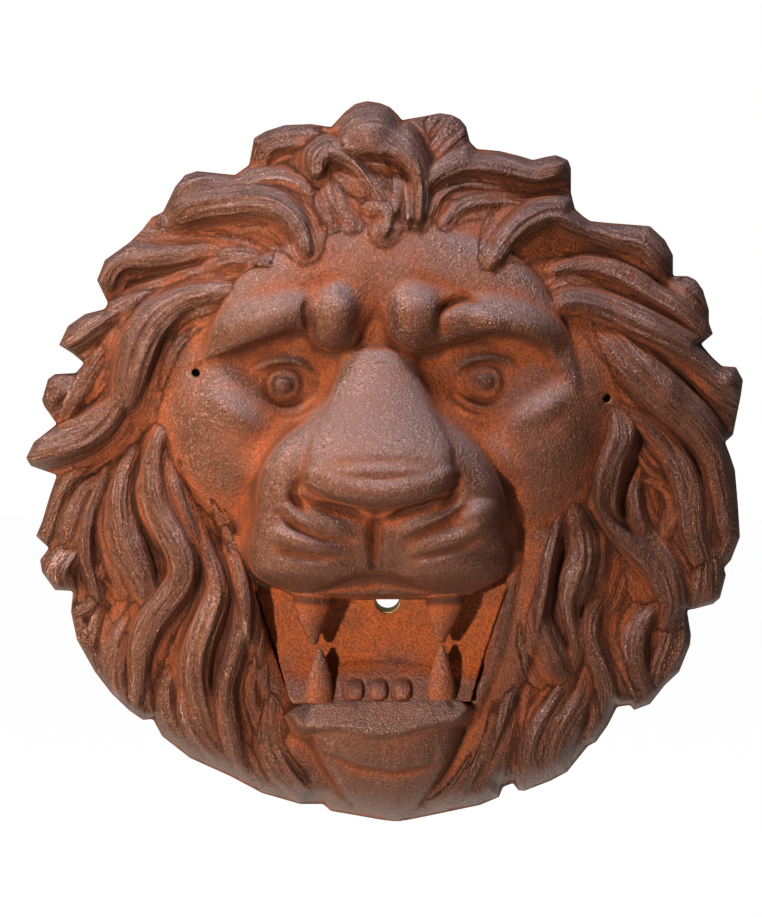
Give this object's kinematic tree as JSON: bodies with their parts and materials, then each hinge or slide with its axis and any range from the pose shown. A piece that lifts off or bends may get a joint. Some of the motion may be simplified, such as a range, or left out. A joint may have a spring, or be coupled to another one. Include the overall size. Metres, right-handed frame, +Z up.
{
  "type": "garden wall fountain",
  "caption": "Cast-iron lion's mask for a garden wall, with a sealed mouth plate and a bush that takes the water pipe.",
  "frame": {"origin": "on the wall plane, on the axis of the water hole", "axes": "+Z up, the lion looks along -Y, +Y into the wall"},
  "size_m": [0.4635, 0.1444, 0.4699],
  "materials": {
    "iron": "rusted casting skin",
    "plate_iron": "rusted, sandy casting skin",
    "rubber": "matte",
    "fibre": "matte",
    "brass": "dull",
    "steel": "zinc plated"
  },
  "bodies": {
    "root": {"lion_mask": "iron", "mouth_plate": "plate_iron", "plate_gasket": "rubber", "plate_screws": "steel", "plate_washers": "steel", "spout_bush": "brass", "bush_washer": "fibre"}
  },
  "joints": []
}
